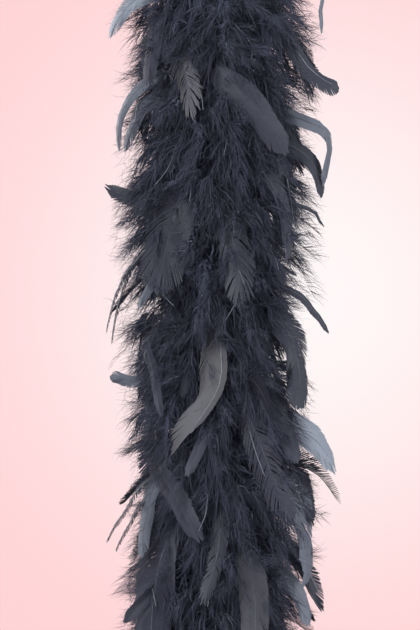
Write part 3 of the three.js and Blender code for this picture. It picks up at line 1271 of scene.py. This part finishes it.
def make_top_knot():
    """The knot under the eye, with the stub of cord that runs down through its whipping."""
    low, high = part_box("top_knot")
    knot_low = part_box("top_whipping")[1][2]
    plumage = Plumage()
    radius = (high[0] - low[0]) / 2
    knotted_turns(plumage, knot_low + KNOT_GAP, high[2], radius, KNOT_TURNS)
    two_ply(plumage, low[2], knot_low + STUB_IN_KNOT, CORD_RADIUS)
    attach(take_place(plumage, "eye_knot", "top_knot"), "hanger")


def make_end_knot():
    """The stopper knot at the cord's lower end."""
    low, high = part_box("end_knot")
    plumage = Plumage()
    knotted_turns(plumage, low[2], high[2], (high[0] - low[0]) / 2, KNOT_TURNS)
    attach(take_place(plumage, "stopper_knot", "end_knot"), LAST_SECTION)


# The radius of the whipping's thread
WHIPPING_THREAD = 0.5 * MM


def wound_whipping(name, node, body):
    """Thread wound tightly round the cord, with its end tucked under."""
    low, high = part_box(node)
    radius = (high[0] - low[0]) / 2
    thread = WHIPPING_THREAD
    wound = high[2] - low[2] - 2 * thread
    turns = wound / (2 * thread)
    t = np.linspace(0, 1, int(turns * 18) + 1)
    route = around(radius - thread, TAU * turns * t, high[2] - thread - wound * t)
    plumage = Plumage()
    plumage.tube(route, np.full(len(t), 1.02 * thread), THREAD, sides=6)
    tuck = around(0.6 * radius, np.zeros(7), np.linspace(low[2] + thread, high[2] - thread, 7))
    plumage.tube(tuck, np.full(7, thread), THREAD, sides=6)
    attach(take_place(plumage, name, node), body)


# Each fibre of the tail: its rows, its start from the cord's middle in cord radii, how far it
# turns round it in radians, how much it sways and the least and the most of its own radius
FIBRE_ROWS = 9
FIBRE_START = 0.75
FIBRE_TURN = 0.8
FIBRE_SWAY = 0.25 * MM
FIBRE_RADII = (0.16, 0.26)


def make_frayed_tail():
    """The end of the cord, untwisted into a small brush of cotton fibres."""
    low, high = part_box("end_tail")
    spread = (high[0] - low[0]) / 2
    drop = high[2] - low[2]
    inner = FIBRE_START * CORD_RADIUS
    plumage = Plumage()
    for _ in range(TAIL_FIBRES):
        heading = rng.uniform(0, TAU)
        share = math.sqrt(rng.uniform(0, 1))
        t = np.linspace(0, 1, FIBRE_ROWS)
        flare = inner + (spread * rng.uniform(0.7, 1.5) - inner) * t**1.6
        sway = rng.normal(0, FIBRE_SWAY, (FIBRE_ROWS, 2)) * t[:, None]
        fall = drop * rng.uniform(0.82, 1.04)
        route = around(share * flare, heading + FIBRE_TURN * t, high[2] - fall * t)
        route[:, :2] += sway
        radii = np.full(FIBRE_ROWS, rng.uniform(*FIBRE_RADII) * MM)
        plumage.tube(route, radii, CORD, tone=rng.uniform(0, 1), sides=4)
    two_ply(plumage, high[2] - 5 * MM, high[2], CORD_RADIUS)
    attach(take_place(plumage, "frayed_tail", "end_tail"), LAST_SECTION)


def make_ends():
    """The pieces at the boa's two ends."""
    eye = Plumage()
    twisted_eye(eye, "hanging_eye")
    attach(take_place(eye, "twisted_eye", "hanging_eye"), "hanger")
    make_top_knot()
    wound_whipping("top_thread", "top_whipping", "hanger")
    wound_whipping("end_thread", "end_whipping", LAST_SECTION)
    make_end_knot()
    make_frayed_tail()


# The floor: half its side in metres, its drop under the boa and its colour
FLOOR_HALF = 6.0
FLOOR_DROP = 60 * MM
FLOOR_COLOUR = (0.60, 0.53, 0.53)


def lay_floor():
    """A plain pale floor under the hanging boa."""
    half, z = FLOOR_HALF, CAD_LOW[2] - FLOOR_DROP
    mesh = bpy.data.meshes.new("floor")
    corners = [(-half, -half, z), (half, -half, z), (half, half, z), (-half, half, z)]
    mesh.from_pydata(corners, [], [(0, 1, 2, 3)])
    mesh.materials.append(Finish("pale_floor").skin_is(Base_Color=FLOOR_COLOUR, Roughness=0.9))
    floor = bpy.data.objects.new("floor", mesh)
    bpy.context.scene.collection.objects.link(floor)


set_camera()
set_studio()
lay_floor()
for each_section in range(SECTIONS):
    make_cord(each_section)
    for each_row in range(len(ROWS)):
        grow_row(each_section, each_row)
make_ends()
